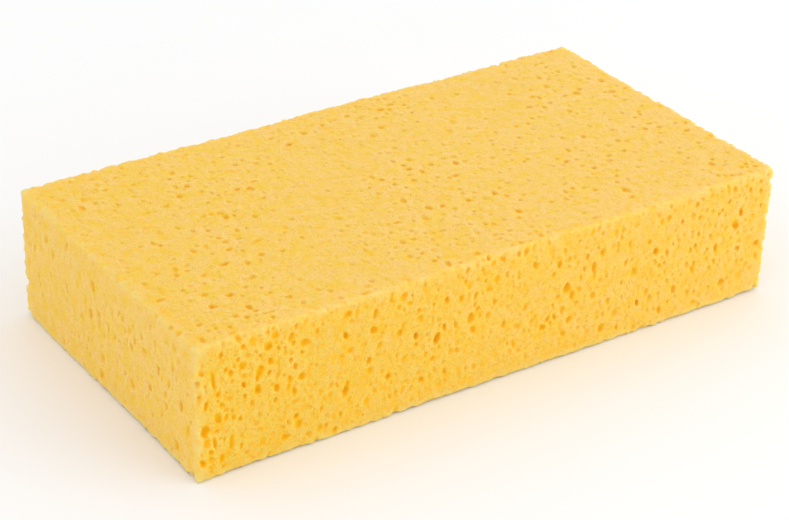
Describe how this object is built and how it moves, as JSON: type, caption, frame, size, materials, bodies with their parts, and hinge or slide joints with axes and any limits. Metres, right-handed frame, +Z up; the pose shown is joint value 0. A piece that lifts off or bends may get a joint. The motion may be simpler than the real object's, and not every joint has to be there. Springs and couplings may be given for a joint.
{
  "type": "block sponge",
  "caption": "Rectangular block sponge of open-pored yellow cellulose foam, held in the hand to wash down, wipe, wet or smooth a surface.",
  "frame": {"origin": "middle of the large face that the block rests on", "axes": "+X along the length, +Y along the width, +Z up through the thickness"},
  "size_m": [0.19, 0.1, 0.04],
  "materials": {
    "cellulose_foam": "matte, open-pored dry cellulose foam, dyed through"
  },
  "bodies": {
    "root": {"sponge_block": "cellulose_foam"}
  },
  "joints": []
}
